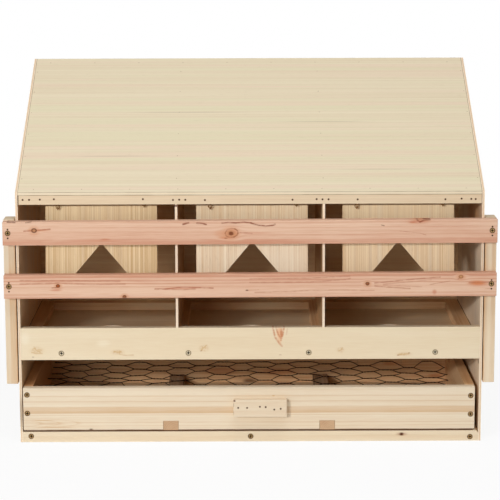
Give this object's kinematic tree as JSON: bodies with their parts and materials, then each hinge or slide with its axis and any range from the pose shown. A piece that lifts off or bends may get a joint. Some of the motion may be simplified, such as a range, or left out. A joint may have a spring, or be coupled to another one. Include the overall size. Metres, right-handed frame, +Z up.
{
  "type": "chicken nesting box",
  "caption": "Timber laying box for hens: nests side by side under a pitched roof, with hanging flaps, a fold-down perch and a sliding egg drawer with a wire net.",
  "frame": {"origin": "on the ground, at the middle of the whole outline seen from above", "axes": "+X to the right seen from the front, +Y to the back, +Z up"},
  "size_m": [0.9342, 0.4308, 0.7052],
  "materials": {
    "roof_ply": "sanded plywood, pale cream, grain across the roof",
    "side_ply": "sanded plywood, grain upright",
    "inner_ply": "sanded plywood",
    "flap_ply": "plywood with a striped upright grain",
    "header_pine": "planed softwood",
    "lip_pine": "planed softwood with small knots",
    "sill_pine": "planed softwood",
    "rail_pine": "planed softwood, pinkish, with knots",
    "post_pine": "planed softwood, tan",
    "drawer_pine": "planed softwood with straight grain bands",
    "rough_pine": "sawn softwood",
    "screw_steel": "dull plated steel",
    "nail_steel": "dull steel, dark heads",
    "eye_steel": "dull plated steel",
    "net_wire": "weathered galvanised wire, dark"
  },
  "bodies": {
    "carcass": {"left_side_panel": "side_ply", "right_side_panel": "side_ply", "left_partition": "inner_ply", "right_partition": "inner_ply", "back_panel": "inner_ply", "roof_panel": "roof_ply", "roof_header": "header_pine", "left_roof_cleat": "rough_pine", "right_roof_cleat": "rough_pine", "rear_roof_rail": "rough_pine", "nest_floor": "inner_ply", "nest_lip_board": "lip_pine", "left_floor_cleat": "rough_pine", "right_floor_cleat": "rough_pine", "rear_floor_cleats": "rough_pine", "partition_cleats": "rough_pine", "front_sill": "sill_pine", "rear_sill": "sill_pine", "left_drawer_runner": "rough_pine", "middle_drawer_runner": "rough_pine", "right_drawer_runner": "rough_pine", "header_eyes": "eye_steel", "lip_screws": "screw_steel", "sill_screws": "screw_steel", "roof_nails": "nail_steel", "header_pins": "nail_steel", "side_nails": "nail_steel", "back_nails": "nail_steel", "pivot_bolts": "screw_steel", "pivot_washers": "screw_steel", "pivot_sleeves": "screw_steel"},
    "perch_frame": {"left_perch_post": "post_pine", "right_perch_post": "post_pine", "upper_perch_rail": "rail_pine", "lower_perch_rail": "rail_pine", "perch_screws": "screw_steel", "perch_pins": "nail_steel"},
    "egg_drawer": {"drawer_front": "drawer_pine", "drawer_back": "drawer_pine", "drawer_left_side": "drawer_pine", "drawer_right_side": "drawer_pine", "drawer_bottom": "inner_ply", "drawer_left_batten": "rough_pine", "drawer_right_batten": "rough_pine", "drawer_net": "net_wire", "net_staples": "nail_steel", "drawer_handle": "drawer_pine", "handle_brads": "nail_steel", "drawer_screws": "screw_steel"},
    "left_flap_door": {"left_flap": "flap_ply", "left_flap_eyes": "eye_steel"},
    "middle_flap_door": {"middle_flap": "flap_ply", "middle_flap_eyes": "eye_steel"},
    "right_flap_door": {"right_flap": "flap_ply", "right_flap_eyes": "eye_steel"}
  },
  "joints": [
    {"name": "perch_fold", "type": "hinge", "parent": "carcass", "child": "perch_frame", "pos_m": [0, -0.1741, 0.1522], "axis": [1, 0, 0], "range_deg": [0, 90]},
    {"name": "drawer_slide", "type": "slide", "parent": "carcass", "child": "egg_drawer", "axis": [0, -1, 0], "range_m": [0, 0.3]},
    {"name": "left_flap_swing", "type": "hinge", "parent": "carcass", "child": "left_flap_door", "pos_m": [-0.2829, -0.1748, 0.45465], "axis": [0.9996, 0, 0.0281], "range_deg": [-1, 45]},
    {"name": "middle_flap_swing", "type": "hinge", "parent": "carcass", "child": "middle_flap_door", "pos_m": [0.00625, -0.1748, 0.45465], "axis": [0.9996, 0, 0.0281], "range_deg": [-1, 45]},
    {"name": "right_flap_swing", "type": "hinge", "parent": "carcass", "child": "right_flap_door", "pos_m": [0.2843, -0.1748, 0.45465], "axis": [0.9996, 0, 0.0281], "range_deg": [-1, 45]}
  ]
}
